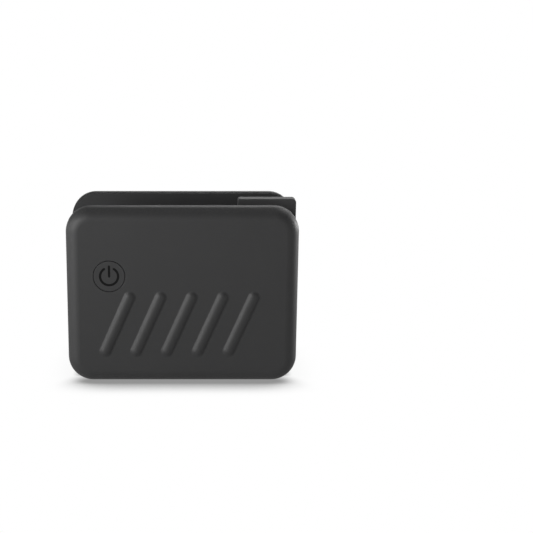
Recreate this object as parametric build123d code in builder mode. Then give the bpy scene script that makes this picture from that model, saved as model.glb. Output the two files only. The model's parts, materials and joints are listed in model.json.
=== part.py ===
from build123d import *

import os
from math import cos, radians, sin, sqrt, tan

# Electric knife sharpener: two upright walls with a blade channel between them, and
# a pair of conical grinding wheels under a slim hood at the right-hand end.
# Millimetres. +Z is up, +X points to the grinding end and the front faces -Y.
# The origin is on the table, under the middle of the body.

# ---------------------------------------------------------------- driving dimensions

# Body
body_length = 165.0
body_height = 128.0
corner_radius = 18.0
edge_round = 9.0
shell_depth = 13.5
shell_wall = 2.5
foot_height = 1.5

# Channel and frame
channel_width = 46.0
channel_depth = 46.5
plate_thickness = 2.0
floor_thickness = 2.5
frame_wall = 3.0
shadow_step = 0.5
tab_half = 4.0
slot_count = 6
slot_pitch = 5.0
slot_width = 2.0
slot_length = 24.0
lip_height = 1.5
lip_wall = 0.85

# Slanted grip ribs
rib_count = 5
rib_length = 51.5
rib_width = 8.2
rib_rise = 1.6
rib_pitch = 22.1
rib_lean = 23.8
rib_shift = -2.15
rib_drop = 20.0
rib_blend = 2.0

# Power button
button_inset = 30.7
button_rise = 15.4
button_radius = 11.05
button_travel = 1.0
button_flange = 1.7
button_flange_thickness = 0.9
button_edge_round = 0.25
mouth_chamfer = 0.2
plunger_rise = 0.8
plunger_wall = 1.3
stem_radius = 1.7
mark_radius = 7.2
mark_stroke = 1.65
mark_gap_angle = 66.0
mark_depth = 0.5
mark_sink = 0.1

# Hood over the wheels
hood_length = 42.2
hood_width = 9.0
hood_rise = 0.5
hood_wall = 1.8
hood_flange = 1.5
hood_left_corner = 1.3
hood_right_corner = 2.7
hood_edge_round = 0.4
arch_gap = 0.8
flange_setback = 0.5

# Blade guide
slit_width = 4.6
slit_floor = 3.0
shoulder_low = 12.0
shoulder_high = 20.0
guide_bridge = 2.8
guide_wall = 2.2
slit_bevel_width = 0.8
slit_bevel_height = 1.0
entry_round = 0.8
guide_post_drop = 1.0
guide_post_cap = 2.0
guide_screw_x = 15.5
guide_screw_y = 16.5
guide_screw_length = 12.5

# Grinding spindle
wheel_radius = 17.5
wheel_rim = 3.45
wheel_bevel = 19.8
wheel_hub_radius = 7.5
spacer_width = 1.5
spacer_radius = 6.5
shaft_radius = 2.5
bushing_radius = 4.0
bushing_length = 6.0
bushing_flange = 1.0
bushing_flange_width = 1.5
bushing_boss_radius = 6.3
clip_thickness = 0.6
clip_radius = 4.2
clip_groove = 0.4
clip_mouth = 0.8
shaft_chamfer = 0.4
chamber_wall = 1.4
chamber_side_wall = 1.8
chamber_gap = 0.6
ear_half = 3.5
ear_thickness = 2.5

# Belt drive
pulley_radius = 10.5
drive_ratio = 1.5
pulley_rim = 1.0
belt_width = 5.0
belt_thickness = 1.2
belt_run = 48.0
belt_drop = 34.0
pulley_clearance = 1.3
pulley_flange_rise = 1.0
hub_wall = 2.2
lightening_radius = 1.6
lightening_count = 5
motor_hub_reach = 2.3

# Motor
motor_radius = 18.0
motor_can_length = 42.0
motor_face_gap = 6.3
motor_cap_length = 8.0
motor_can_wall = 1.5
motor_cap_wall = 2.0
motor_can_round = 1.2
motor_shaft_radius = 1.6
bearing_radius = 5.0
bearing_face_rise = 2.0
bearing_back_rise = 1.5
armature_radius = 12.4
armature_inset = 3.0
magnet_thickness = 3.2
magnet_inset = 4.0
magnet_gap_half = 5.0
pole_count = 5
pole_slot = 5.0
winding_end = 2.0
commutator_radius = 4.5
commutator_reach = 3.0
commutator_slit = 0.5
brush_gap = 0.15
brush_half = 2.0
brush_depth = 3.0
brush_arm_thickness = 0.6
brush_arm_half = 2.5
brush_arm_inset = 4.0
strap_thickness = 0.8
strap_width = 10.0
cradle_half_width = 24.0
cradle_length = 40.0
cradle_base = 3.0
cradle_lift = 3.0
cradle_drop = 2.0
cradle_rib = 3.0
cradle_rib_inset = 9.0
cradle_hole_inset = 4.0
strap_hole_inset = 2.4

# Dust tray
tray_height = 25.0
tray_width = 24.0
tray_wall = 1.5
tray_panel = 3.0
tray_travel = 38.0
tray_engagement = 2.0
tray_corner = 2.0
tray_bottom_round = 1.0
tray_rim_drop = 2.0
rail_wall = 2.0
rail_width = 3.0
rail_rise = 4.0
rail_foot = 9.0
rail_screw_y = 9.0
web_gap = 1.0
recess_length = 14.9
recess_height = 7.0
recess_floor = 1.2

# Cells
cell_radius = 7.0
cell_length = 43.0
cell_standoff = 10.5
holder_wall = 1.5
holder_pocket = 1.1
holder_rise = 2.7
holder_rib_inset = 3.0
holder_rib_half = 1.0
holder_ear_half = 3.5
holder_ear_thickness = 2.5
cell_gap = 1.0
cell_cap_radius = 2.4
cell_cap_rise = 0.8
cell_round = 0.5
cell_strap_half = 3.0
cell_strap_rise = 2.5
cell_strap_tail = 6.0
cell_strap_thickness = 0.3

# Boards
board_thickness = 1.6
board_corner = 1.5
board_setback = 2.0
main_board_length = 44.0
main_board_height = 50.0
main_board_inset = 32.5
main_board_rise = 2.5
port_rise = 18.5
switch_size = 6.0
switch_height = 3.0
switch_board_length = 40.0
switch_board_height = 12.0
switch_hole_inset = 3.5
board_hole_inset = 4.0
light_spacing = 12.0
light_radius = 1.25
light_collar_radius = 2.4
light_collar = 0.8
port_width = 8.94
port_height = 3.26
port_wall = 0.3
port_tongue_half = 3.3
port_tongue_thickness = 0.7

# Components on the main board: place from its lower left corner, width, height, rise
controller = (22.0, 12.0, 7.0, 7.0, 1.2)
motor_transistor = (33.0, 14.0, 6.5, 9.0, 2.3)
charging_coil = (13.0, 13.0, 6.0, 6.0, 3.0)
charging_chip = (32.0, 26.0, 5.0, 4.0, 1.5)
capacitor_radius = 4.0
capacitor_length = 10.0

# Screws and screw posts
screw_radius = 1.35
screw_head_radius = 2.6
screw_head_height = 1.2
post_radius = 3.2
head_sink = 5.0
head_gap = 0.5
tower_wall = 1.5
front_screw_length = 10.0
strap_screw_length = 8.0
holder_screw_length = 8.0
board_screw_length = 7.0
cradle_screw_bite = 3.0
rail_screw_bite = 3.0
lug_inset = 12.5
lug_low = 22.5
lug_high = 64.5
lug_thickness = 4.0
lug_half = 4.0
rear_lug_depth = 8.0
socket_length = 4.0
peg_step = 1.3
peg_inset = 22.5
peg_drop = 17.5

# Feet
foot_radius = 7.0
foot_inset = 22.5
foot_y = 15.0
foot_recess = 1.2

# Leads
lead_radius = 0.7

# Clearances, and how far a root runs into its wall or a cut past its face
running_gap = 0.03
slide_gap = 0.3
close_gap = 0.1
hole_gap = 0.2
button_gap = 0.35
overrun = 1.0

# ------------------------------------------------------------------- derived places

body_bottom = foot_height
body_middle = foot_height + body_height / 2
body_top = foot_height + body_height
end_x = body_length / 2

channel_side = channel_width / 2
parting_y = channel_side + plate_thickness
outer_y = parting_y + shell_depth
inner_y = outer_y - shell_wall

channel_floor = body_top - channel_depth
floor_underside = channel_floor - floor_thickness
frame_end = end_x - shadow_step
frame_inner = frame_end - frame_wall
frame_bottom = body_bottom + shadow_step
bay_bottom = frame_bottom + frame_wall

hood_left = end_x - hood_length
hood_side = hood_width / 2
hood_top = body_top + hood_rise
slit_outer = hood_side + slit_width
slit_bottom = channel_floor + slit_floor

chamber_half = wheel_radius + chamber_gap
wheel_x = frame_inner - chamber_wall - chamber_half
wheel_z = floor_underside - bushing_boss_radius - 2 * close_gap
wheel_side = spacer_width / 2 + wheel_rim
wheel_face = wheel_side + (wheel_radius - wheel_hub_radius) * tan(radians(wheel_bevel))
chamber_side = wheel_face + 2 * clip_thickness
chamber_outer = chamber_side + chamber_side_wall
boss_end = chamber_outer + bushing_length - overrun
flange_end = boss_end + bushing_flange

pulley_start = parting_y + pulley_clearance
pulley_width = belt_width + 2 * close_gap + 2 * pulley_rim
pulley_end = pulley_start + pulley_width
shaft_end = pulley_end + 2 * clip_thickness
front_clip_y = -(flange_end + slide_gap + clip_thickness)
motor_pulley_radius = pulley_radius / drive_ratio

motor_x = wheel_x - belt_run
motor_z = wheel_z - belt_drop
motor_face_y = pulley_start - motor_face_gap
motor_joint_y = motor_face_y - motor_can_length
motor_back_y = motor_joint_y - motor_cap_length
cradle_y = (motor_face_y + motor_joint_y) / 2
cradle_bottom = bay_bottom + cradle_lift
cradle_shoulder = motor_z - cradle_drop
strap_screw_x = cradle_half_width - strap_hole_inset

tray_bottom = body_bottom + corner_radius + 1.0
tray_top = tray_bottom + tray_height
tray_left = frame_end - tray_panel - tray_travel - tray_engagement
tray_side = tray_width / 2
web_x = tray_left - rail_wall - web_gap

chamber_bottom = tray_top + slide_gap
guide_left = hood_left - guide_bridge
guide_post_top = channel_floor + shoulder_low - guide_post_drop
holder_bottom = bay_bottom + cell_standoff
holder_length = cell_length + 2 * (holder_wall + holder_pocket)
holder_middle = (motor_x - cradle_half_width - frame_inner) / 2
holder_left = holder_middle - holder_length / 2
holder_right = holder_middle + holder_length / 2
cell_pitch = 2 * cell_radius + cell_gap
cell_z = holder_bottom + holder_wall + cell_radius + close_gap
holder_top = cell_z + holder_rise
holder_side = cell_pitch / 2 + cell_radius + holder_wall

button_x = -end_x + button_inset
button_z = body_middle + button_rise
flange_front = -inner_y + 2 * close_gap
flange_back = flange_front + button_flange_thickness
plunger_back = flange_back + plunger_rise
switch_front = plunger_back + button_travel + slide_gap
switch_back = switch_front + switch_height
switch_board_back = switch_back + board_thickness

main_board_x = -end_x + main_board_inset
main_board_z = body_middle + main_board_rise
main_board_front = parting_y + board_setback
main_board_back = main_board_front + board_thickness
port_z = body_middle + port_rise
light_x = main_board_x + light_spacing

lug_x = end_x - lug_inset
peg_x = end_x - peg_inset
foot_x = end_x - foot_inset
tower_radius = screw_head_radius + head_gap + tower_wall
screw_hole_radius = screw_radius + hole_gap
foot_top = frame_bottom + foot_recess
peg_z = body_top - peg_drop
low_z = body_bottom + lug_low
high_z = body_bottom + lug_high

front_plane = Plane(origin=(0, -parting_y, body_middle), x_dir=(1, 0, 0), z_dir=(0, -1, 0))
rear_plane = Plane(origin=(0, parting_y, body_middle), x_dir=(-1, 0, 0), z_dir=(0, 1, 0))


# -------------------------------------------------------------------- shared shapes


def upright(y):
    """Plane of a sketch that stands at y, with its x along X and its y along Z."""
    return Plane(origin=(0, y, 0), x_dir=(1, 0, 0), z_dir=(0, -1, 0))


def bar(x, z, radius, y_from, y_to, mode=Mode.ADD):
    """Round bar or hole along Y."""
    with Locations((x, (y_from + y_to) / 2, z)):
        Cylinder(radius, abs(y_to - y_from), rotation=(90, 0, 0), mode=mode)


def post(x, y, radius, z_from, z_to, mode=Mode.ADD):
    """Round post or hole along Z."""
    with Locations((x, y, (z_from + z_to) / 2)):
        Cylinder(radius, abs(z_to - z_from), mode=mode)


def block(x_range, y_range, z_range, mode=Mode.ADD):
    """Box between two corners."""
    sizes = [abs(high - low) for low, high in (x_range, y_range, z_range)]
    centre = [(high + low) / 2 for low, high in (x_range, y_range, z_range)]
    with Locations(tuple(centre)):
        Box(*sizes, mode=mode)


def screw(length):
    """Cross-head screw with the underside of its head at the origin, pointing down."""
    with BuildPart() as one:
        Cylinder(screw_radius, length, align=(Align.CENTER, Align.CENTER, Align.MAX))
        chamfer(one.faces().sort_by(Axis.Z)[0].edges(), screw_radius * 0.4)
        Cylinder(screw_head_radius, screw_head_height, align=(Align.CENTER, Align.CENTER, Align.MIN))
        fillet(one.faces().sort_by(Axis.Z)[-1].edges(), screw_head_height * 0.4)
        with Locations((0, 0, screw_head_height)):
            Box(screw_head_radius * 1.1, 0.6, screw_head_height, mode=Mode.SUBTRACT)
            Box(0.6, screw_head_radius * 1.1, screw_head_height, mode=Mode.SUBTRACT)
    return one.part


def screw_group(length, places, direction):
    """Identical screws with their heads at the given places, pointing along direction."""
    turned_back = tuple(-value for value in direction)
    with BuildPart() as group:
        with Locations(*[Plane(origin=place, z_dir=turned_back) for place in places]):
            add(screw(length))
    return group.part


def lead(points, bend):
    """Insulated lead through the points, with round bends."""
    with BuildPart() as run:
        with BuildLine() as route:
            FilletPolyline(*points, radius=bend)
        with BuildSketch(Plane(origin=route.wire() @ 0, z_dir=route.wire() % 0)):
            Circle(lead_radius)
        sweep(path=route.wire())
    return run.part


def save(piece, name):
    """Label a finished piece and write it as its own file."""
    piece.label = name
    export_step(piece, f"parts/{name}.step")


os.makedirs("parts", exist_ok=True)

# ---------------------------------------------------------------------- wall shells

# One rounded rib rises out of the XY plane: the top of a sunk round-ended bar.
rib_bar_radius = (rib_width**2 / 4 + rib_rise**2) / (2 * rib_rise)
rib_bar_length = rib_length - rib_width
with BuildPart() as grip_rib:
    with Locations((0, 0, rib_rise - rib_bar_radius)):
        Cylinder(rib_bar_radius, rib_bar_length, rotation=(90, 0, 0))
        with GridLocations(1, rib_bar_length, 1, 2):
            Sphere(rib_bar_radius)
    split(bisect_by=Plane.XY.offset(-shell_wall / 2), keep=Keep.TOP)


def pillow(inset):
    """Rounded pan blank on the XY plane, smaller by the inset on every side but its mouth."""
    with BuildPart() as blank:
        with BuildSketch():
            RectangleRounded(body_length - 2 * inset, body_height - 2 * inset, corner_radius - inset)
        extrude(amount=shell_depth - inset)
        fillet(blank.faces().sort_by(Axis.Z)[-1].edges(), edge_round - inset)
    return blank.part


with BuildPart() as shell_pan:
    add(pillow(0))
    add(pillow(shell_wall), mode=Mode.SUBTRACT)
    with Locations((rib_shift, -rib_drop, shell_depth)):
        with GridLocations(rib_pitch, 1, rib_count, 1):
            with Locations(Rotation(0, 0, -rib_lean)):
                add(grip_rib.part)
    ribbed_face = shell_pan.faces().filter_by(GeomType.PLANE).sort_by(Axis.Z)[-1]
    fillet(ribbed_face.inner_wires().edges(), rib_blend)

low_corners = [(-lug_x, low_z), (lug_x, low_z)]
high_corners = [(-lug_x, high_z), (lug_x, high_z)]
top_corners = [(-peg_x, peg_z), (peg_x, peg_z)]
switch_screw_x = switch_board_length / 2 - switch_hole_inset
main_screw_x = main_board_length / 2 - board_hole_inset
main_screw_z = main_board_height / 2 - board_hole_inset
main_board_screws = [
    (main_board_x + across, main_board_z + up)
    for across in (-main_screw_x, main_screw_x)
    for up in (-main_screw_z, main_screw_z)
]
switch_screws = [(button_x + side * switch_screw_x, button_z) for side in (-1, 1)]
wall_root = inner_y + shell_wall / 2

with BuildPart() as front_shell:
    with Locations(front_plane):
        add(shell_pan.part)
    # Posts for the frame's screws, pegs for its sockets and posts for the switch board.
    for x, z in low_corners + high_corners:
        bar(x, z, post_radius, -wall_root, -parting_y)
    for x, z in top_corners:
        bar(x, z, post_radius, -wall_root, -parting_y - socket_length - close_gap)
        bar(x, z, post_radius - peg_step, -wall_root, -parting_y - close_gap)
    for x, z in switch_screws:
        bar(x, z, post_radius, -wall_root, switch_back)
    for x, z in low_corners + high_corners:
        bar(x, z, screw_radius, -inner_y, -parting_y, Mode.SUBTRACT)
    for x, z in switch_screws:
        bar(x, z, screw_radius, -inner_y, switch_back, Mode.SUBTRACT)
    # Button opening with a softened outer edge.
    mouth_radius = button_radius + button_gap
    bar(button_x, button_z, mouth_radius, -outer_y - overrun, -inner_y + overrun, Mode.SUBTRACT)
    circles = front_shell.edges().filter_by(GeomType.CIRCLE)
    mouth_circles = circles.filter_by(lambda edge: abs(edge.radius - mouth_radius) < 0.01)
    chamfer(mouth_circles.sort_by(Axis.Y)[0], mouth_chamfer)
save(front_shell.part, "front_shell")

with BuildPart() as rear_shell:
    with Locations(rear_plane):
        add(shell_pan.part)
    # Screw towers with sunk heads, board posts and the openings of port and light.
    for x, z in low_corners:
        bar(x, z, tower_radius, wall_root, parting_y)
    for x, z in top_corners:
        bar(x, z, tower_radius, wall_root, parting_y + socket_length)
    for x, z in low_corners + top_corners:
        bar(x, z, screw_hole_radius, outer_y, parting_y, Mode.SUBTRACT)
        bar(x, z, screw_head_radius + head_gap, outer_y, outer_y - head_sink, Mode.SUBTRACT)
    for x, z in main_board_screws:
        bar(x, z, post_radius, wall_root, main_board_back)
    for x, z in main_board_screws:
        bar(x, z, screw_radius, inner_y, main_board_back, Mode.SUBTRACT)
    with BuildSketch(upright(outer_y)):
        with Locations((main_board_x, port_z)):
            SlotOverall(port_width + 2 * slide_gap, port_height + 2 * slide_gap)
    extrude(amount=shell_wall, mode=Mode.SUBTRACT)
    bar(light_x, port_z, light_radius + close_gap, outer_y, inner_y, Mode.SUBTRACT)
save(rear_shell.part, "rear_shell")

# ----------------------------------------------------------------------- core frame

lip_inset = shell_wall + close_gap * 1.5
foot_places = [(across, along) for across in (-foot_x, foot_x) for along in (-foot_y, foot_y)]
cradle_screw_x = cradle_half_width - cradle_hole_inset
cradle_screw_y = cradle_length / 2 - cradle_hole_inset
cradle_screws = [
    (motor_x + across, cradle_y + along)
    for across in (-cradle_screw_x, cradle_screw_x)
    for along in (-cradle_screw_y, cradle_screw_y)
]
guide_screws = [
    (wheel_x + across, along)
    for across in (-guide_screw_x, guide_screw_x)
    for along in (-guide_screw_y, guide_screw_y)
]
rail_screws = [(web_x + rail_foot - post_radius, side * rail_screw_y) for side in (-1, 1)]
holder_ear_y = holder_side + post_radius
throat_half = sqrt(wheel_radius**2 - (floor_underside - wheel_z) ** 2) + chamber_gap
guide_throat_half = sqrt(wheel_radius**2 - (channel_floor - wheel_z) ** 2) + chamber_gap

with BuildPart() as frame_blank:
    # Block of the whole outline, then the lower bay and the blade channel cut from it.
    with BuildSketch(upright(parting_y)):
        with Locations((0, body_middle)):
            RectangleRounded(2 * frame_end, body_height - 2 * shadow_step, corner_radius - shadow_step)
    extrude(amount=2 * parting_y)
    with BuildSketch(upright(parting_y)):
        with Locations((0, body_middle)):
            RectangleRounded(
                2 * frame_inner,
                body_height - 2 * (shadow_step + frame_wall),
                corner_radius - shadow_step - frame_wall,
            )
        with Locations((0, floor_underside)):
            Rectangle(
                body_length,
                body_height,
                align=(Align.CENTER, Align.MAX),
                mode=Mode.INTERSECT,
            )
    extrude(amount=2 * parting_y, mode=Mode.SUBTRACT)
    block((-end_x, end_x), (-channel_side, channel_side), (channel_floor, body_top), Mode.SUBTRACT)

    # Locating lips that enter the shells' rims.
    for edge_y in (-parting_y, parting_y + lip_height):
        with BuildSketch(upright(edge_y)):
            with Locations((0, body_middle)):
                RectangleRounded(
                    body_length - 2 * lip_inset,
                    body_height - 2 * lip_inset,
                    corner_radius - lip_inset,
                )
                RectangleRounded(
                    body_length - 2 * (lip_inset + lip_wall),
                    body_height - 2 * (lip_inset + lip_wall),
                    corner_radius - lip_inset - lip_wall,
                    mode=Mode.SUBTRACT,
                )
        extrude(amount=lip_height)

    # Lugs for the screws of both shells, sockets for the front pegs.
    for x, z in low_corners + high_corners:
        side = 1 if x > 0 else -1
        lug_span = sorted((x - side * lug_half, side * (frame_end - overrun)))
        block(lug_span, (-parting_y, -parting_y + lug_thickness), (z - lug_half, z + lug_half))
        bar(x, z, screw_hole_radius, -parting_y, -parting_y + lug_thickness, Mode.SUBTRACT)
        if (x, z) in low_corners:
            block(lug_span, (parting_y - rear_lug_depth, parting_y), (z - lug_half, z + lug_half))
            bar(x, z, screw_radius, parting_y, parting_y - rear_lug_depth, Mode.SUBTRACT)
    for x, z in top_corners:
        bar(x, z, post_radius, -parting_y, -parting_y - socket_length)
        bar(x, z, post_radius - peg_step + close_gap, -parting_y, -parting_y - socket_length, Mode.SUBTRACT)
        bar(x, z, post_radius, parting_y, parting_y + socket_length)
        bar(x, z, screw_radius, parting_y + socket_length, parting_y - overrun, Mode.SUBTRACT)

    # Throat for the wheels and the holes of the guide's screws.
    block(
        (wheel_x - throat_half, wheel_x + throat_half),
        (-chamber_side, chamber_side),
        (floor_underside, channel_floor),
        Mode.SUBTRACT,
    )
    for x, y in guide_screws:
        post(x, y, screw_hole_radius, floor_underside, channel_floor, Mode.SUBTRACT)

    # Opening for the dust tray in the end wall.
    block(
        (frame_inner - overrun, frame_end + overrun),
        (-tray_side - slide_gap, tray_side + slide_gap),
        (tray_bottom - slide_gap, tray_top + slide_gap),
        Mode.SUBTRACT,
    )

    # Posts of the motor cradle and the tray's rails, ribs and posts of the cell holder.
    for x, y in cradle_screws + rail_screws:
        post(x, y, post_radius, bay_bottom - overrun, cradle_bottom)
        post(x, y, screw_radius, bay_bottom - overrun, cradle_bottom, Mode.SUBTRACT)
    for x in (holder_left + holder_rib_inset, holder_right - holder_rib_inset):
        block(
            (x - holder_rib_half, x + holder_rib_half),
            (-holder_side, holder_side),
            (bay_bottom - overrun, holder_bottom),
        )
    for side in (-1, 1):
        post(holder_middle, side * holder_ear_y, post_radius, bay_bottom - overrun, holder_bottom)
        post(holder_middle, side * holder_ear_y, screw_radius, bay_bottom, holder_bottom, Mode.SUBTRACT)

    # Foot recesses and the cooling slots under the motor.
    for x, y in foot_places:
        post(x, y, foot_radius + close_gap, frame_bottom - overrun, foot_top, Mode.SUBTRACT)
    with Locations((motor_x, 0, frame_bottom + frame_wall / 2)):
        with GridLocations(slot_pitch, 1, slot_count, 1):
            Box(slot_width, slot_length, frame_wall + overrun, mode=Mode.SUBTRACT)

tab_thickness = plate_thickness / 2
tab_places = [-peg_x, 0.0, peg_x]


def floor_tabs(side, gap, mode=Mode.ADD):
    """Tabs at the foot of one wall plate, or their notches in the floor's edge with that gap."""
    for x in tab_places:
        block(
            (x - tab_half - gap, x + tab_half + gap),
            sorted((side * (parting_y - tab_thickness - gap), side * parting_y)),
            (floor_underside, channel_floor),
            mode,
        )


with BuildPart() as core_frame:
    add(frame_blank.part)
    block((-end_x, end_x), (-outer_y, outer_y), (0, channel_floor), Mode.INTERSECT)
    for side in (-1, 1):
        floor_tabs(side, close_gap, Mode.SUBTRACT)
save(core_frame.part, "core_frame")


def wall_plate(side):
    """Inner plate of one wall, which stands on the floor's edge and closes the shell."""
    with BuildPart() as plate:
        add(frame_blank.part)
        block((-end_x, end_x), sorted((0, side * outer_y)), (channel_floor, body_top), Mode.INTERSECT)
        floor_tabs(side, 0)
    return plate.part


save(wall_plate(-1), "front_wall_plate")
save(wall_plate(1), "rear_wall_plate")

# Rails of the dust tray, closed at the back by a web and screwed to the bay's floor.
with BuildPart() as tray_rails:
    rail_top = tray_bottom - close_gap
    rail_outer = tray_side + rail_width
    block((web_x, web_x + rail_wall), (-rail_outer, rail_outer), (cradle_bottom, tray_top))
    block((web_x, web_x + rail_foot), (-rail_outer, rail_outer), (cradle_bottom, cradle_bottom + rail_wall))
    for side in (-1, 1):
        block(
            (web_x, frame_inner - close_gap),
            sorted((side * (tray_side - rail_wall), side * rail_outer)),
            (rail_top - rail_wall, rail_top),
        )
        block(
            (web_x, frame_inner - close_gap),
            sorted((side * (tray_side + slide_gap), side * rail_outer)),
            (rail_top - rail_wall, rail_top + rail_rise),
        )
    for x, y in rail_screws:
        post(x, y, screw_hole_radius, cradle_bottom, cradle_bottom + rail_wall, Mode.SUBTRACT)
save(tray_rails.part, "tray_rails")

# ------------------------------------------------------------- blade guide and hood

with BuildPart() as guide_insert:
    # Section across the channel: a sloping shoulder on each side of the two slits.
    with BuildSketch(Plane(origin=(guide_left, 0, 0), x_dir=(0, 1, 0), z_dir=(1, 0, 0))):
        with BuildLine():
            Polyline(
                (slit_outer, channel_floor),
                (channel_side - close_gap, channel_floor),
                (channel_side - close_gap, channel_floor + shoulder_high),
                (slit_outer + slit_bevel_width, channel_floor + shoulder_low),
                (slit_outer, channel_floor + shoulder_low - slit_bevel_height),
                close=True,
            )
        make_face()
        mirror(about=Plane.YZ)
        with Locations((0, channel_floor)):
            Rectangle(2 * slit_outer, slit_floor, align=(Align.CENTER, Align.MIN))
    extrude(amount=frame_end - guide_left)
    # Rounded entry where the blade comes in at the open end.
    fillet(guide_insert.edges().filter_by(Axis.Y).group_by(Axis.X)[-1].sort_by(Axis.Z)[-2:], entry_round)
    # Hollow shoulders, open below, with a post for each screw.
    for side in (-1, 1):
        with BuildSketch(Plane(origin=(guide_left + guide_wall, 0, 0), x_dir=(0, 1, 0), z_dir=(1, 0, 0))):
            with BuildLine():
                Polyline(
                    (side * (slit_outer + guide_wall), channel_floor),
                    (side * (channel_side - guide_wall), channel_floor),
                    (side * (channel_side - guide_wall), channel_floor + shoulder_high - 2.2 * guide_wall),
                    (side * (slit_outer + guide_wall), channel_floor + shoulder_low - guide_wall),
                    close=True,
                )
            make_face()
        extrude(amount=frame_end - guide_left - 2 * guide_wall, mode=Mode.SUBTRACT)
    for x, y in guide_screws:
        post(x, y, post_radius, channel_floor, guide_post_top)
        post(x, y, screw_radius, channel_floor, guide_post_top - guide_post_cap, Mode.SUBTRACT)
    # Throat for the wheels, slot for the hood and pockets for its two flanges.
    block(
        (wheel_x - guide_throat_half, wheel_x + guide_throat_half),
        (-slit_outer, slit_outer),
        (channel_floor, slit_bottom),
        Mode.SUBTRACT,
    )
    block(
        (hood_left - close_gap, end_x),
        (-hood_side - close_gap, hood_side + close_gap),
        (channel_floor, slit_bottom),
        Mode.SUBTRACT,
    )
    block(
        (hood_left - close_gap, end_x),
        (-slit_outer + flange_setback, slit_outer - flange_setback),
        (channel_floor, channel_floor + hood_flange + close_gap),
        Mode.SUBTRACT,
    )
save(guide_insert.part, "guide_insert")

arch_radius = wheel_radius + arch_gap
flange_side = slit_outer - flange_setback - close_gap
with BuildPart() as wheel_hood:
    with BuildSketch(upright(hood_side)):
        with Locations((hood_left, channel_floor)):
            Rectangle(hood_length, hood_top - channel_floor, align=(Align.MIN, Align.MIN))
        with Locations((wheel_x, wheel_z)):
            Circle(arch_radius, mode=Mode.SUBTRACT)
    extrude(amount=hood_width)
    upper_edges = wheel_hood.edges().filter_by(Axis.Y).group_by(Axis.Z)[-1].sort_by(Axis.X)
    fillet(upper_edges[0], hood_left_corner)
    upper_edges = wheel_hood.edges().filter_by(Axis.Y).group_by(Axis.Z)[-1].sort_by(Axis.X)
    fillet(upper_edges[-1], hood_right_corner)
    fillet(wheel_hood.faces().sort_by(Axis.Z)[-1].edges(), hood_edge_round)
    # Flanges that the guide insert holds down, clear of the wheels.
    for x_range in (
        (hood_left, wheel_x - guide_throat_half),
        (wheel_x + guide_throat_half, frame_end),
    ):
        block(x_range, (-flange_side, flange_side), (channel_floor, channel_floor + hood_flange))
    # Hollow above the arch.
    with BuildSketch(upright(hood_side - hood_wall)):
        with Locations((hood_left + hood_wall, channel_floor + 2 * hood_wall)):
            Rectangle(
                hood_length - 2 * hood_wall,
                hood_top - channel_floor - 3 * hood_wall,
                align=(Align.MIN, Align.MIN),
            )
    extrude(amount=hood_width - 2 * hood_wall, mode=Mode.SUBTRACT)
save(wheel_hood.part, "wheel_hood")

# ---------------------------------------------------------- wheel chamber and shaft

with BuildPart() as wheel_chamber:
    block(
        (wheel_x - chamber_half - chamber_wall, wheel_x + chamber_half + chamber_wall),
        (-chamber_outer, chamber_outer),
        (chamber_bottom, floor_underside),
    )
    for side in (-1, 1):
        bar(wheel_x, wheel_z, bushing_boss_radius, side * (chamber_side + overrun), side * boss_end)
    for x, y in guide_screws:
        side = 1 if y > 0 else -1
        ear_span = sorted((y + side * ear_half, side * (chamber_side + overrun)))
        block((x - ear_half, x + ear_half), ear_span, (floor_underside - ear_thickness, floor_underside))
    block(
        (wheel_x - chamber_half, wheel_x + chamber_half),
        (-chamber_side, chamber_side),
        (chamber_bottom, floor_underside),
        Mode.SUBTRACT,
    )
    bar(wheel_x, wheel_z, bushing_radius, -boss_end, boss_end, Mode.SUBTRACT)
    for x, y in guide_screws:
        post(x, y, screw_hole_radius, floor_underside - 2 * ear_thickness, floor_underside, Mode.SUBTRACT)
save(wheel_chamber.part, "wheel_chamber")

with BuildPart() as shaft_bushings:
    for side in (-1, 1):
        bar(wheel_x, wheel_z, bushing_radius, side * chamber_side, side * boss_end)
        bar(wheel_x, wheel_z, bushing_radius + bushing_flange_width, side * boss_end, side * flange_end)
    bar(wheel_x, wheel_z, shaft_radius + running_gap, -flange_end, flange_end, Mode.SUBTRACT)
save(shaft_bushings.part, "shaft_bushings")

clip_starts = [front_clip_y, -wheel_face - clip_thickness, wheel_face, pulley_end]
clip_seat_radius = shaft_radius - clip_groove
with BuildPart() as wheel_shaft:
    bar(wheel_x, wheel_z, shaft_radius, front_clip_y - clip_thickness, shaft_end)
    for start in clip_starts:
        bar(wheel_x, wheel_z, shaft_radius + overrun, start, start + clip_thickness, Mode.SUBTRACT)
        bar(wheel_x, wheel_z, clip_seat_radius, start, start + clip_thickness)
    chamfer(wheel_shaft.faces().sort_by(Axis.Y)[0].edges(), shaft_chamfer)
    chamfer(wheel_shaft.faces().sort_by(Axis.Y)[-1].edges(), shaft_chamfer)
save(wheel_shaft.part, "wheel_shaft")

with BuildPart() as shaft_clips:
    for start in clip_starts:
        bar(wheel_x, wheel_z, clip_radius, start, start + clip_thickness)
        bar(wheel_x, wheel_z, clip_seat_radius, start, start + clip_thickness, Mode.SUBTRACT)
        block(
            (wheel_x - clip_seat_radius * clip_mouth, wheel_x + clip_seat_radius * clip_mouth),
            (start, start + clip_thickness),
            (wheel_z, wheel_z + clip_radius),
            Mode.SUBTRACT,
        )
save(shaft_clips.part, "shaft_clips")

spindle_axis = Axis((wheel_x, 0, wheel_z), (0, 1, 0))
radial_plane = Plane(origin=(wheel_x, 0, wheel_z), x_dir=(1, 0, 0), z_dir=(0, 0, 1))


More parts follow.
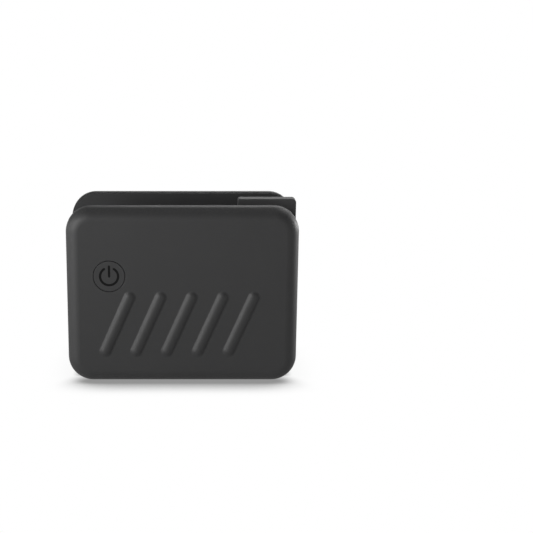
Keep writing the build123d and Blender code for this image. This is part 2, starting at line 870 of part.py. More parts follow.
def grinding_wheel(side):
    """Abrasive wheel whose outer flank is a cone that meets the blade's edge."""
    with BuildPart() as wheel:
        with BuildSketch(radial_plane):
            with BuildLine():
                Polyline(
                    (shaft_radius, side * spacer_width / 2),
                    (wheel_radius, side * spacer_width / 2),
                    (wheel_radius, side * wheel_side),
                    (wheel_hub_radius, side * wheel_face),
                    (shaft_radius, side * wheel_face),
                    close=True,
                )
            make_face()
        revolve(axis=spindle_axis)
    return wheel.part


save(grinding_wheel(-1), "front_grinding_wheel")
save(grinding_wheel(1), "rear_grinding_wheel")

with BuildPart() as wheel_spacer:
    bar(wheel_x, wheel_z, spacer_radius, -spacer_width / 2, spacer_width / 2)
    bar(wheel_x, wheel_z, shaft_radius, -spacer_width / 2, spacer_width / 2, Mode.SUBTRACT)
save(wheel_spacer.part, "wheel_spacer")

# ----------------------------------------------------------------------- belt drive


def pulley(x, z, track_radius, bore_radius, hub_start, hole_ring=0):
    """Flanged flat-belt pulley with a hub towards the front, lightened by a ring of holes."""
    with BuildPart() as wheel:
        bar(x, z, bore_radius + hub_wall, hub_start, pulley_end)
        bar(x, z, track_radius, pulley_start, pulley_end)
        for start in (pulley_start, pulley_end - pulley_rim):
            bar(x, z, track_radius + pulley_flange_rise, start, start + pulley_rim)
        bar(x, z, bore_radius, hub_start, pulley_end, Mode.SUBTRACT)
        if hole_ring:
            with Locations(upright(pulley_start)):
                with Locations((x, z)):
                    with PolarLocations(hole_ring, lightening_count):
                        Cylinder(lightening_radius, 2 * pulley_width, mode=Mode.SUBTRACT)
    return wheel.part


hub_start = flange_end + slide_gap
hole_ring = (pulley_radius + shaft_radius + hub_wall) / 2
save(pulley(wheel_x, wheel_z, pulley_radius, shaft_radius, hub_start, hole_ring), "driven_pulley")
motor_hub_start = pulley_start - motor_hub_reach
save(pulley(motor_x, motor_z, motor_pulley_radius, motor_shaft_radius, motor_hub_start), "motor_pulley")

belt_start = pulley_start + pulley_rim + close_gap
belt_gap = 1.5 * close_gap
with BuildPart() as drive_belt:
    for skin, mode in ((belt_gap + belt_thickness, Mode.ADD), (belt_gap, Mode.SUBTRACT)):
        with BuildSketch(upright(belt_start)):
            with Locations((wheel_x, wheel_z)):
                Circle(pulley_radius + skin)
            with Locations((motor_x, motor_z)):
                Circle(motor_pulley_radius + skin)
            make_hull()
        extrude(amount=-belt_width, mode=mode)
save(drive_belt.part, "drive_belt")

# ---------------------------------------------------------------------------- motor

can_bore_radius = motor_radius - motor_can_wall
motor_bore_radius = motor_shaft_radius + running_gap
with BuildPart() as motor_can:
    bar(motor_x, motor_z, motor_radius, motor_joint_y, motor_face_y)
    fillet(motor_can.faces().sort_by(Axis.Y)[-1].edges(), motor_can_round)
    bar(motor_x, motor_z, bearing_radius, motor_face_y - overrun, motor_face_y + bearing_face_rise)
    bar(motor_x, motor_z, can_bore_radius, motor_joint_y, motor_face_y - motor_can_wall, Mode.SUBTRACT)
    bar(motor_x, motor_z, motor_bore_radius, motor_joint_y, motor_face_y + motor_cap_length, Mode.SUBTRACT)
save(motor_can.part, "motor_can")

with BuildPart() as motor_end_cap:
    bar(motor_x, motor_z, motor_radius, motor_back_y, motor_joint_y)
    fillet(motor_end_cap.faces().sort_by(Axis.Y)[0].edges(), motor_can_round)
    bar(motor_x, motor_z, bearing_radius, motor_back_y - bearing_back_rise, motor_back_y + overrun)
    bar(motor_x, motor_z, can_bore_radius, motor_back_y + motor_cap_wall, motor_joint_y, Mode.SUBTRACT)
    bar(motor_x, motor_z, motor_bore_radius, motor_back_y - motor_cap_length, motor_joint_y, Mode.SUBTRACT)
save(motor_end_cap.part, "motor_end_cap")

magnet_start = motor_joint_y + magnet_inset
magnet_end = motor_face_y - magnet_inset
magnet_bore = can_bore_radius - magnet_thickness
with BuildPart() as motor_magnets:
    bar(motor_x, motor_z, can_bore_radius, magnet_start, magnet_end)
    bar(motor_x, motor_z, magnet_bore, magnet_start, magnet_end, Mode.SUBTRACT)
    block(
        (motor_x - magnet_gap_half, motor_x + magnet_gap_half),
        (magnet_start, magnet_end),
        (motor_z - motor_radius, motor_z + motor_radius),
        Mode.SUBTRACT,
    )
save(motor_magnets.part, "motor_magnets")

armature_start = magnet_start + armature_inset
armature_end = magnet_end - armature_inset
pole_ring = 0.8 * armature_radius
pole_angles = [radians(360 / pole_count * (pole + 0.5)) for pole in range(pole_count)]
pole_places = [(motor_x + pole_ring * cos(angle), motor_z + pole_ring * sin(angle)) for angle in pole_angles]
with BuildPart() as motor_armature:
    bar(motor_x, motor_z, armature_radius, armature_start, armature_end)
    bar(motor_x, motor_z, motor_shaft_radius, armature_start, armature_end, Mode.SUBTRACT)
    for x, z in pole_places:
        bar(x, z, pole_slot / 2, armature_start, armature_end, Mode.SUBTRACT)
save(motor_armature.part, "motor_armature")

with BuildPart() as motor_windings:
    for x, z in pole_places:
        bar(x, z, pole_slot / 2 - close_gap, armature_start - winding_end, armature_end + winding_end)
    for start in (armature_start - winding_end, armature_end):
        bar(motor_x, motor_z, pole_ring, start, start + winding_end)
        bar(motor_x, motor_z, motor_shaft_radius, start, start + winding_end, Mode.SUBTRACT)
save(motor_windings.part, "motor_windings")

commutator_start = motor_joint_y - commutator_reach
commutator_end = armature_start - winding_end
with BuildPart() as commutator:
    bar(motor_x, motor_z, commutator_radius, commutator_start, commutator_end)
    bar(motor_x, motor_z, motor_shaft_radius, commutator_start, commutator_end, Mode.SUBTRACT)
    with Locations(upright(commutator_start)):
        with Locations((motor_x, motor_z)):
            with PolarLocations(commutator_radius, pole_count, start_angle=180 / pole_count):
                Box(1.0, commutator_slit, 2 * (commutator_end - commutator_start), mode=Mode.SUBTRACT)
save(commutator.part, "commutator")

with BuildPart() as motor_shaft:
    bar(motor_x, motor_z, motor_shaft_radius, motor_back_y - 2.0, shaft_end - 0.5)
save(motor_shaft.part, "motor_shaft")

brush_start = commutator_start + overrun
with BuildPart() as motor_brushes:
    for side in (-1, 1):
        inner_x = motor_x + side * (commutator_radius + brush_gap)
        outer_x = motor_x + side * (can_bore_radius - brush_arm_inset)
        block(
            sorted((inner_x, outer_x)),
            (brush_start, brush_start + brush_depth),
            (motor_z - brush_half, motor_z + brush_half),
        )
        block(
            sorted((outer_x, outer_x + side * brush_arm_thickness)),
            (motor_back_y + motor_cap_wall, brush_start + brush_depth),
            (motor_z - brush_arm_half, motor_z + brush_arm_half),
        )
save(motor_brushes.part, "motor_brushes")

saddle_radius = motor_radius + 1.5 * close_gap
rib_offset = cradle_length / 2 - cradle_rib_inset
with BuildPart() as motor_cradle:
    block(
        (motor_x - cradle_half_width, motor_x + cradle_half_width),
        (cradle_y - cradle_length / 2, cradle_y + cradle_length / 2),
        (cradle_bottom, cradle_bottom + cradle_base),
    )
    for along, depth, top in (
        (-rib_offset, cradle_rib, cradle_shoulder - cradle_drop),
        (rib_offset, cradle_rib, cradle_shoulder - cradle_drop),
        (0.0, strap_width + cradle_drop, cradle_shoulder),
    ):
        block(
            (motor_x - cradle_half_width, motor_x + cradle_half_width),
            (cradle_y + along - depth / 2, cradle_y + along + depth / 2),
            (cradle_bottom, top),
        )
    bar(motor_x, motor_z, saddle_radius, motor_back_y, motor_face_y, Mode.SUBTRACT)
    for x, y in cradle_screws:
        post(x, y, screw_hole_radius, cradle_bottom - overrun, cradle_bottom + cradle_base, Mode.SUBTRACT)
    for side in (-1, 1):
        post(
            motor_x + side * strap_screw_x,
            cradle_y,
            screw_radius,
            cradle_shoulder - strap_screw_length - overrun,
            cradle_shoulder,
            Mode.SUBTRACT,
        )
save(motor_cradle.part, "motor_cradle")

with BuildPart() as motor_strap:
    with BuildSketch(upright(cradle_y + strap_width / 2)):
        with Locations((motor_x, motor_z)):
            Circle(saddle_radius + strap_thickness)
        with Locations((motor_x, cradle_shoulder)):
            Rectangle(2 * cradle_half_width, strap_thickness, align=(Align.CENTER, Align.MIN))
            Rectangle(
                2 * cradle_half_width,
                2 * motor_radius,
                align=(Align.CENTER, Align.MAX),
                mode=Mode.SUBTRACT,
            )
        with Locations((motor_x, motor_z)):
            Circle(saddle_radius, mode=Mode.SUBTRACT)
    extrude(amount=strap_width)
    for side in (-1, 1):
        post(
            motor_x + side * strap_screw_x,
            cradle_y,
            screw_hole_radius,
            cradle_shoulder - overrun,
            cradle_shoulder + overrun,
            Mode.SUBTRACT,
        )
save(motor_strap.part, "motor_strap")

# ------------------------------------------------------------------------ dust tray

with BuildPart() as dust_tray:
    tray_box_end = frame_end - tray_panel + overrun
    tray_box_side = tray_side - overrun
    tray_rim = tray_top - tray_rim_drop
    block((tray_left, tray_box_end), (-tray_box_side, tray_box_side), (tray_bottom, tray_rim))
    fillet(dust_tray.edges().filter_by(Axis.Z), tray_corner)
    fillet(dust_tray.faces().sort_by(Axis.Z)[0].edges(), tray_bottom_round)
    offset(amount=-tray_wall, openings=dust_tray.faces().sort_by(Axis.Z)[-1])
    block((frame_end - tray_panel, frame_end), (-tray_side, tray_side), (tray_bottom, tray_top))
    # Finger recess in the panel, with a soft pull edge.
    recess_z = tray_top - recess_height / 2 - 2 * recess_floor
    with BuildSketch(Plane(origin=(frame_end, 0, recess_z), x_dir=(0, 1, 0), z_dir=(1, 0, 0))):
        SlotOverall(recess_length, recess_height)
    extrude(amount=-(tray_panel - recess_floor), mode=Mode.SUBTRACT)
save(dust_tray.part, "dust_tray")

# ---------------------------------------------------------------------------- power

cell_sides = [-cell_pitch / 2, cell_pitch / 2]
strap_side = cell_pitch / 2 + cell_strap_half
pocket_side = strap_side + overrun
ear_top = holder_bottom + holder_ear_thickness
with BuildPart() as cell_holder:
    block((holder_left, holder_right), (-holder_side, holder_side), (holder_bottom, holder_top))
    for y in cell_sides:
        with Locations((holder_middle, y, cell_z)):
            Cylinder(
                cell_radius + close_gap,
                holder_length - 2 * holder_wall,
                rotation=(0, 90, 0),
                mode=Mode.SUBTRACT,
            )
    for end, inward in ((holder_left, 1), (holder_right, -1)):
        block(
            sorted((end + inward * holder_wall, end + inward * (holder_wall + holder_pocket))),
            (-pocket_side, pocket_side),
            (cell_z - cell_strap_half, holder_top),
            Mode.SUBTRACT,
        )
    for side in (-1, 1):
        ear = sorted((side * (holder_side - overrun), side * (holder_ear_y + post_radius)))
        ear_span = (holder_middle - holder_ear_half, holder_middle + holder_ear_half)
        block(ear_span, ear, (holder_bottom, ear_top))
        post(
            holder_middle,
            side * holder_ear_y,
            screw_hole_radius,
            holder_bottom - overrun,
            ear_top,
            Mode.SUBTRACT,
        )
save(cell_holder.part, "cell_holder")

with BuildPart() as cells:
    for y in cell_sides:
        with Locations((holder_middle, y, cell_z)):
            Cylinder(cell_radius, cell_length - cell_cap_rise, rotation=(0, 90, 0))
    fillet(cells.edges().filter_by(GeomType.CIRCLE), cell_round)
    for y, side in zip(cell_sides, (1, -1)):
        with Locations((holder_middle + side * cell_length / 2, y, cell_z)):
            Cylinder(cell_cap_radius, cell_cap_rise, rotation=(0, 90, 0))
save(cells.part, "cells")

strap_x = (cell_length + cell_cap_rise) / 2
with BuildPart() as cell_straps:
    joined = (-strap_side, strap_side)
    left_strap = (holder_middle - strap_x - cell_strap_thickness, holder_middle - strap_x)
    right_strap = (holder_middle + strap_x, holder_middle + strap_x + cell_strap_thickness)
    block(left_strap, joined, (cell_z - cell_strap_rise, cell_z + cell_strap_rise))
    for y in cell_sides:
        one_cell = (y - cell_strap_half, y + cell_strap_half)
        block(right_strap, one_cell, (cell_z - cell_strap_rise, cell_z + cell_strap_tail))
save(cell_straps.part, "cell_straps")

with BuildPart() as main_board:
    with BuildSketch(upright(main_board_back)):
        with Locations((main_board_x, main_board_z)):
            RectangleRounded(main_board_length, main_board_height, board_corner)
        with Locations(*main_board_screws):
            Circle(screw_hole_radius, mode=Mode.SUBTRACT)
    extrude(amount=board_thickness)
save(main_board.part, "main_board")

board_left = main_board_x - main_board_length / 2
board_right = main_board_x + main_board_length / 2
board_low = main_board_z - main_board_height / 2
with BuildPart() as board_parts:
    # Controller, motor transistor, coil and light source behind; capacitor in front.
    for across, up, width, height, rise in (controller, motor_transistor, charging_coil, charging_chip):
        x = board_left + across
        z = board_low + up
        block(
            (x - width / 2, x + width / 2),
            (main_board_back, main_board_back + rise),
            (z - height / 2, z + height / 2),
        )
    led_depth = (main_board_back, main_board_back + 0.7)
    block((light_x - 0.8, light_x + 0.8), led_depth, (port_z - 0.5, port_z + 0.5))
    capacitor_x = board_left + board_hole_inset + 2.5 * capacitor_radius
    capacitor_z = board_low + 3 * capacitor_radius
    bar(capacitor_x, capacitor_z, capacitor_radius, main_board_front, main_board_front - capacitor_length)
save(board_parts.part, "board_parts")

with BuildPart() as usb_port:
    with BuildSketch(upright(outer_y - slide_gap)):
        with Locations((main_board_x, port_z)):
            SlotOverall(port_width, port_height)
            SlotOverall(port_width - 2 * port_wall, port_height - 2 * port_wall, mode=Mode.SUBTRACT)
    extrude(amount=outer_y - slide_gap - main_board_back)
    with BuildSketch(upright(main_board_back + 2)):
        with Locations((main_board_x, port_z)):
            SlotOverall(port_width - port_wall, port_height - port_wall)
    extrude(amount=2)
    block(
        (main_board_x - port_tongue_half, main_board_x + port_tongue_half),
        (main_board_back + 1, outer_y - slide_gap - 1.2),
        (port_z - port_tongue_thickness / 2, port_z + port_tongue_thickness / 2),
    )
save(usb_port.part, "usb_port")

with BuildPart() as charge_light:
    bar(light_x, port_z, light_radius, main_board_back + light_collar + close_gap, outer_y)
    bar(light_x, port_z, light_collar_radius, inner_y - light_collar, inner_y)
save(charge_light.part, "charge_light")

# --------------------------------------------------------------------- power button

bore_floor = 0.4
with BuildPart() as tact_switch:
    block(
        (button_x - switch_size / 2, button_x + switch_size / 2),
        (switch_front, switch_back),
        (button_z - switch_size / 2, button_z + switch_size / 2),
    )
    bar(button_x, button_z, stem_radius + close_gap, switch_front, switch_back - bore_floor, Mode.SUBTRACT)
save(tact_switch.part, "tact_switch")

with BuildPart() as switch_board:
    with BuildSketch(upright(switch_board_back)):
        with Locations((button_x, button_z)):
            RectangleRounded(switch_board_length, switch_board_height, board_corner)
        with Locations(*switch_screws):
            Circle(screw_hole_radius, mode=Mode.SUBTRACT)
    extrude(amount=board_thickness)
save(switch_board.part, "switch_board")

# Power symbol: an arc that is open at the top, with a bar in its gap.
with BuildSketch() as power_symbol:
    ring = CenterArc(
        (0, 0),
        mark_radius - mark_stroke / 2,
        90 + mark_gap_angle / 2,
        360 - mark_gap_angle,
        mode=Mode.PRIVATE,
    )
    SlotArc(ring, mark_stroke)
    with Locations((0, mark_radius / 2)):
        SlotOverall(mark_radius + mark_stroke, mark_stroke, rotation=90)

button_front = -outer_y
with BuildPart() as power_button:
    bar(button_x, button_z, button_radius, button_front, flange_back)
    fillet(power_button.faces().sort_by(Axis.Y)[0].edges(), button_edge_round)
    bar(button_x, button_z, button_radius + button_flange, flange_front, flange_back)
    bar(button_x, button_z, stem_radius + plunger_wall, flange_back, plunger_back)
    with BuildSketch(upright(button_front)):
        with Locations((button_x, button_z)):
            add(power_symbol.sketch)
    extrude(amount=-mark_depth, mode=Mode.SUBTRACT)
save(power_button.part, "power_button")

with BuildPart() as power_mark:
    with BuildSketch(upright(button_front + mark_sink)):
        with Locations((button_x, button_z)):
            add(power_symbol.sketch)
    extrude(amount=-(mark_depth - mark_sink))
save(power_mark.part, "power_mark")

with BuildPart() as switch_stem:
    stem_tip = switch_back - bore_floor - button_travel - 2 * close_gap
    bar(button_x, button_z, stem_radius, plunger_back, stem_tip)
save(switch_stem.part, "switch_stem")

# --------------------------------------------------------------------------- screws

front_screw_places = [(x, -parting_y + lug_thickness, z) for x, z in low_corners + high_corners]
save(screw_group(front_screw_length, front_screw_places, (0, -1, 0)), "front_shell_screws")

rear_low_places = [(x, outer_y - head_sink, z) for x, z in low_corners + top_corners]
save(screw_group(outer_y - head_sink - parting_y, rear_low_places, (0, -1, 0)), "rear_shell_screws")

guide_places = [(x, y, floor_underside - ear_thickness) for x, y in guide_screws]
save(screw_group(guide_screw_length, guide_places, (0, 0, 1)), "guide_screws")

cradle_places = [(x, y, cradle_bottom + cradle_base) for x, y in cradle_screws]
save(screw_group(cradle_base + cradle_screw_bite, cradle_places, (0, 0, -1)), "cradle_screws")

rail_places = [(x, y, cradle_bottom + rail_wall) for x, y in rail_screws]
save(screw_group(rail_wall + rail_screw_bite, rail_places, (0, 0, -1)), "rail_screws")

strap_top = cradle_shoulder + strap_thickness
strap_places = [(motor_x + side * strap_screw_x, cradle_y, strap_top) for side in (-1, 1)]
save(screw_group(strap_screw_length, strap_places, (0, 0, -1)), "strap_screws")

holder_places = [(holder_middle, side * holder_ear_y, ear_top) for side in (-1, 1)]
save(screw_group(holder_screw_length, holder_places, (0, 0, -1)), "holder_screws")

main_board_places = [(x, main_board_front, z) for x, z in main_board_screws]
save(screw_group(board_screw_length, main_board_places, (0, 1, 0)), "board_screws")

switch_places = [(x, switch_board_back, z) for x, z in switch_screws]
save(screw_group(board_screw_length, switch_places, (0, -1, 0)), "switch_board_screws")

# ----------------------------------------------------------------------------- feet

with BuildPart() as rubber_feet:
    for x, y in foot_places:
        post(x, y, foot_radius, 0, foot_top)
    fillet(rubber_feet.edges().filter_by(GeomType.CIRCLE).group_by(Axis.Z)[0], 0.6)
save(rubber_feet.part, "rubber_feet")

# ---------------------------------------------------------------------------- leads

with BuildPart() as cell_leads:
    for y, x in ((cell_sides[0], board_right - 12), (cell_sides[1], board_right - 8)):
        tab_x = holder_middle + strap_x + cell_strap_thickness / 2
        lead_z = board_low + 6
        add(
            lead(
                [
                    (tab_x, y, cell_z + cell_strap_tail),
                    (tab_x, y, lead_z - 8),
                    (x, y + 9, lead_z),
                    (x, main_board_front, lead_z),
                ],
                3.5,
            )
        )
save(cell_leads.part, "cell_leads")

with BuildPart() as motor_leads:
    for across, z in ((-10.0, board_low + 16), (-6.0, board_low + 20)):
        top_z = motor_z + motor_radius + 6
        add(
            lead(
                [
                    (motor_x + across, motor_back_y, motor_z + 10),
                    (motor_x + across, motor_back_y - 3.0, motor_z + 10),
                    (motor_x + across, motor_back_y - 2.0, top_z),
                    (motor_x - 24, -4 + across, top_z + 1),
                    (board_right - 4, main_board_front - 12, z),
                    (board_right - 4, main_board_front, z),
                ],
                1.4,
            )
        )
save(motor_leads.part, "motor_leads")

lead_drop = switch_board_back + 1.9
lead_run_z = button_z - 12
with BuildPart() as switch_leads:
    for x in (button_x + 11, button_x + 14):
        add(
            lead(
                [
                    (x, switch_board_back, button_z - 4),
                    (x, lead_drop, button_z - 4),
                    (x, lead_drop, lead_run_z),
                    (x, main_board_front - 14, lead_run_z - 3),
                    (x, main_board_front - 7, lead_run_z),
                    (x, main_board_front, lead_run_z),
                ],
                1.4,
            )
        )
save(switch_leads.part, "switch_leads")
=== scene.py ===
import json
from math import cos, pi, radians, sin

import bpy
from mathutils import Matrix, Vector


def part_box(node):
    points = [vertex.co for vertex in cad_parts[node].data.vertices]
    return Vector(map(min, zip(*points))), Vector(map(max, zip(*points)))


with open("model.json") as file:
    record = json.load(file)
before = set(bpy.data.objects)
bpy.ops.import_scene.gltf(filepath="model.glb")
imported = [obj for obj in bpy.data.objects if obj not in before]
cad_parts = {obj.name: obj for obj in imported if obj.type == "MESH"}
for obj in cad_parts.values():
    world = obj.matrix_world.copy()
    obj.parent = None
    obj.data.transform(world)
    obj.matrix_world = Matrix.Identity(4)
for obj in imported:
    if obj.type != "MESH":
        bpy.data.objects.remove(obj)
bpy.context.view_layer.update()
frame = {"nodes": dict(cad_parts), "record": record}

# The knife sharpener's finishes, its floor, light and camera. Metres, in the frame of the solids.

nodes = frame["nodes"]
MM = 0.001

# ------------------------------------------------------------------ places and sizes


def middle(node):
    """Middle of a node's box."""
    low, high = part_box(node)
    return (low + high) / 2


wheel_low, wheel_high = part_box("front_grinding_wheel")
wheel_radius = (wheel_high.x - wheel_low.x) / 2
wheel_axle = middle("wheel_shaft")
rotor_axle = middle("motor_shaft")
guide_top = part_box("guide_insert")[1].z

# --------------------------------------------------------------------- node helpers


class Shading:
    """Short way to write a node tree: each call adds one node and links its inputs."""

    def __init__(self, tree):
        self.tree = tree

    def add(self, kind, inputs=None, **settings):
        node = self.tree.nodes.new(kind)
        for key, value in settings.items():
            setattr(node, key, value)
        for key, value in (inputs or {}).items():
            self.feed(node.inputs[key], value)
        return node

    def feed(self, socket, value):
        if isinstance(value, bpy.types.NodeSocket):
            self.tree.links.new(value, socket)
        else:
            socket.default_value = value

    def math(self, operation, *values, clamp=False):
        node = self.tree.nodes.new("ShaderNodeMath")
        node.operation = operation
        node.use_clamp = clamp
        for socket, value in zip(node.inputs, values):
            self.feed(socket, value)
        return node.outputs[0]

    def times(self, first, second, clamp=False):
        return self.math("MULTIPLY", first, second, clamp=clamp)

    def times_plus(self, value, factor, offset, clamp=False):
        return self.math("MULTIPLY_ADD", value, factor, offset, clamp=clamp)

    def spread(self, value, low, high, out_low=0.0, out_high=1.0):
        """Smooth step of a value from one range to another."""
        node = self.add(
            "ShaderNodeMapRange",
            {
                "Value": value,
                "From Min": low,
                "From Max": high,
                "To Min": out_low,
                "To Max": out_high,
            },
            interpolation_type="SMOOTHSTEP",
        )
        return node.outputs["Result"]

    def blend(self, share, first, second):
        """Colour between two colours."""
        node = self.add("ShaderNodeMix", data_type="RGBA")
        self.feed(node.inputs["Factor"], share)
        self.feed(node.inputs[6], first)
        self.feed(node.inputs[7], second)
        return node.outputs[2]

    def noise(self, place, scale, detail=2.0, roughness=0.5, distortion=0.0):
        """Noise from 0 to 1; the scale is its features per metre."""
        node = self.add(
            "ShaderNodeTexNoise",
            {
                "Vector": place,
                "Scale": scale,
                "Detail": detail,
                "Roughness": roughness,
                "Distortion": distortion,
            },
        )
        return node.outputs["Fac"]

    def patches(self, place, scale, low, high, **texture):
        """Patches of noise: none below one level of it, full above the other."""
        return self.spread(self.noise(place, scale, **texture), low, high)

    def place(self):
        """Place on the piece, in the metres of the solids."""
        return self.add("ShaderNodeTexCoord").outputs["Object"]

    def split(self, vector):
        return self.add("ShaderNodeSeparateXYZ", {0: vector}).outputs

    def join(self, x, y, z):
        return self.add("ShaderNodeCombineXYZ", {"X": x, "Y": y, "Z": z}).outputs[0]

    def shelter(self, reach, samples):
        """How open a point is to its surroundings within a reach in metres."""
        node = self.add("ShaderNodeAmbientOcclusion", {"Distance": reach}, samples=samples)
        return node.outputs["AO"]

    def from_axle(self, axle_x, axle_z):
        """Distance from an axle along Y, and the height along it."""
        parts = self.split(self.place())
        across = self.math("SUBTRACT", parts["X"], axle_x)
        up = self.math("SUBTRACT", parts["Z"], axle_z)
        square = self.times_plus(up, up, self.times(across, across))
        return self.math("SQRT", square), parts["Y"]

    def group(self, tree, **inputs):
        node = self.tree.nodes.new("ShaderNodeGroup")
        node.node_tree = tree
        for key, value in inputs.items():
            self.feed(node.inputs[key.replace("_", " ")], value)
        return node.outputs


def effect(name, inputs, outputs):
    """Node group with named sockets, and the shading helper that fills it."""
    tree = bpy.data.node_groups.new(name, "ShaderNodeTree")
    for label, value in inputs.items():
        socket = tree.interface.new_socket(
            name=label, in_out="INPUT", socket_type="NodeSocketFloat"
        )
        socket.default_value = value
    for label in outputs:
        tree.interface.new_socket(name=label, in_out="OUTPUT", socket_type="NodeSocketFloat")
    shading = Shading(tree)
    entry = tree.nodes.new("NodeGroupInput")
    result = tree.nodes.new("NodeGroupOutput")
    return tree, shading, entry.outputs, result.inputs


def scale_of(shading, millimetres):
    """Texture scale whose features are this many millimetres."""
    return shading.math("DIVIDE", 1 / MM, millimetres)


# ------------------------------------------------------------------- shared effects

middle_tones = (0.3, 0.7)


def moulded_grain():
    """Fine spark-eroded mould texture and the slow unevenness of a large moulding."""
    coarse_scale, coarse_height = 0.35, 0.5
    flow_tones = (0.32, 0.68)
    tree, shading, given, result = effect(
        "Moulded grain", {"Grain Size": 0.4, "Flow Size": 30.0}, ["Height", "Tone", "Flow"]
    )
    place = shading.place()
    grain_scale = scale_of(shading, given["Grain Size"])
    fine = shading.noise(place, grain_scale, detail=3.0, roughness=0.6)
    coarse = shading.noise(place, shading.times(grain_scale, coarse_scale))
    flow_scale = scale_of(shading, given["Flow Size"])
    shading.feed(result["Height"], shading.times_plus(coarse, coarse_height, fine))
    shading.feed(result["Tone"], shading.spread(fine, *middle_tones))
    shading.feed(result["Flow"], shading.patches(place, flow_scale, *flow_tones, detail=3.0))
    return tree


def edge_wear():
    """Mask of the arrises, broken up by fine noise."""
    flat, arris = 0.985, 0.80
    whole, rubbed = 0.38, 0.62
    tree, shading, given, result = effect("Edge wear", {"Radius": 0.4, "Breakup": 2.0}, ["Mask"])
    radius = shading.times(given["Radius"], MM)
    bevel = shading.add("ShaderNodeBevel", {"Radius": radius}, samples=6)
    true_normal = shading.add("ShaderNodeNewGeometry").outputs["Normal"]
    product = shading.add("ShaderNodeVectorMath", operation="DOT_PRODUCT")
    shading.feed(product.inputs[0], bevel.outputs["Normal"])
    shading.feed(product.inputs[1], true_normal)
    edge = shading.spread(product.outputs["Value"], flat, arris)
    scale = scale_of(shading, given["Breakup"])
    broken = shading.patches(shading.place(), scale, whole, rubbed, detail=4.0, roughness=0.65)
    shading.feed(result["Mask"], shading.times(edge, broken, clamp=True))
    return tree


def settled_dust():
    """Fine dust that lies on upward faces and stays in corners."""
    in_corners, on_top = 0.7, 0.5
    steep, level = 0.35, 1.0
    open_to_air, cornered = 0.9, 0.35
    between_specks, speck = 0.45, 0.75
    tree, shading, given, result = effect(
        "Settled dust", {"Reach": 6.0, "Speck Size": 1.2}, ["Mask"]
    )
    normal = shading.add("ShaderNodeNewGeometry").outputs["Normal"]
    upward = shading.spread(shading.split(normal)["Z"], steep, level)
    reach = shading.times(given["Reach"], MM)
    corner = shading.spread(shading.shelter(reach, samples=6), open_to_air, cornered)
    lying = shading.times_plus(corner, in_corners, shading.times(upward, on_top), clamp=True)
    scale = scale_of(shading, given["Speck Size"])
    speckled = shading.patches(
        shading.place(), scale, between_specks, speck, detail=5.0, roughness=0.7
    )
    shading.feed(result["Mask"], shading.times(lying, speckled, clamp=True))
    return tree


def painted_gap_shade():
    """Mask of narrow gaps and creases, for the painted shade there."""
    open_gap, deep_gap = 0.80, 0.52
    tree, shading, given, result = effect("Painted gap shade", {"Reach": 1.2}, ["Mask"])
    reach = shading.times(given["Reach"], MM)
    shading.feed(result["Mask"], shading.spread(shading.shelter(reach, samples=8), open_gap, deep_gap))
    return tree


def handling_marks():
    """Faint smears that hands leave on satin plastic."""
    smear_tones, streak_tones = (0.46, 0.66), (0.35, 0.7)
    streaks_per_smear = 4.0
    tree, shading, given, result = effect("Handling marks", {"Smear Size": 18.0}, ["Mask"])
    place = shading.place()
    scale = scale_of(shading, given["Smear Size"])
    smears = shading.patches(
        place, scale, *smear_tones, detail=4.0, roughness=0.55, distortion=0.8
    )
    streak_scale = shading.times(scale, streaks_per_smear)
    streaks = shading.patches(
        place, streak_scale, *streak_tones, detail=3.0, roughness=0.6, distortion=1.5
    )
    shading.feed(result["Mask"], shading.times(smears, streaks))
    return tree


def blade_scuffs():
    """Hair-fine scratches along the blade's way, thickest beside the slits."""
    length_stretch = 0.012
    line_tones, patch_tones = (0.58, 0.70), (0.45, 0.65)
    patches_per_metre = 160.0
    tree, shading, given, result = effect(
        "Blade scuffs", {"Line Size": 0.25, "Floor Height": 70.0, "Reach": 8.0}, ["Mask"]
    )
    parts = shading.split(shading.place())
    scale = scale_of(shading, given["Line Size"])
    along = shading.join(shading.times(parts["X"], length_stretch), parts["Y"], parts["Z"])
    lines = shading.patches(along, scale, *line_tones, distortion=0.2)
    patches = shading.patches(
        shading.place(), patches_per_metre, *patch_tones, detail=3.0, roughness=0.6
    )
    floor_height = shading.times(given["Floor Height"], MM)
    rise = shading.math("SUBTRACT", parts["Z"], floor_height)
    top = shading.times(given["Reach"], MM)
    near = shading.math("SUBTRACT", 1.0, shading.math("DIVIDE", rise, top), clamp=True)
    shading.feed(result["Mask"], shading.times(shading.times(lines, patches), near))
    return tree


def fine_lines(shading, result, place, line_size):
    """Feeds the height and tone of fine lines into an effect's outputs."""
    lines = shading.noise(place, scale_of(shading, line_size), detail=3.0, roughness=0.7)
    shading.feed(result["Height"], lines)
    shading.feed(result["Tone"], shading.spread(lines, *middle_tones))


def turned_lines():
    """Rings that a lathe or grinder leaves round an axle along Y."""
    tree, shading, given, result = effect(
        "Turned lines", {"Axle X": 0.0, "Axle Z": 0.0, "Line Size": 0.12}, ["Height", "Tone"]
    )
    radius, along = shading.from_axle(given["Axle X"], given["Axle Z"])
    fine_lines(shading, result, shading.join(radius, along, 0.0), given["Line Size"])
    return tree


def drawn_lines():
    """Straight lines of rolled, drawn or stacked metal, long where the stretch is small."""
    tree, shading, given, result = effect(
        "Drawn lines",
        {"Along X": 1.0, "Along Y": 1.0, "Along Z": 1.0, "Line Size": 0.12},
        ["Height", "Tone"],
    )
    stretch = shading.join(*(given[f"Along {axis}"] for axis in "XYZ"))
    stretched = shading.add(
        "ShaderNodeVectorMath", {0: shading.place(), 1: stretch}, operation="MULTIPLY"
    )
    fine_lines(shading, result, stretched.outputs[0], given["Line Size"])
    return tree


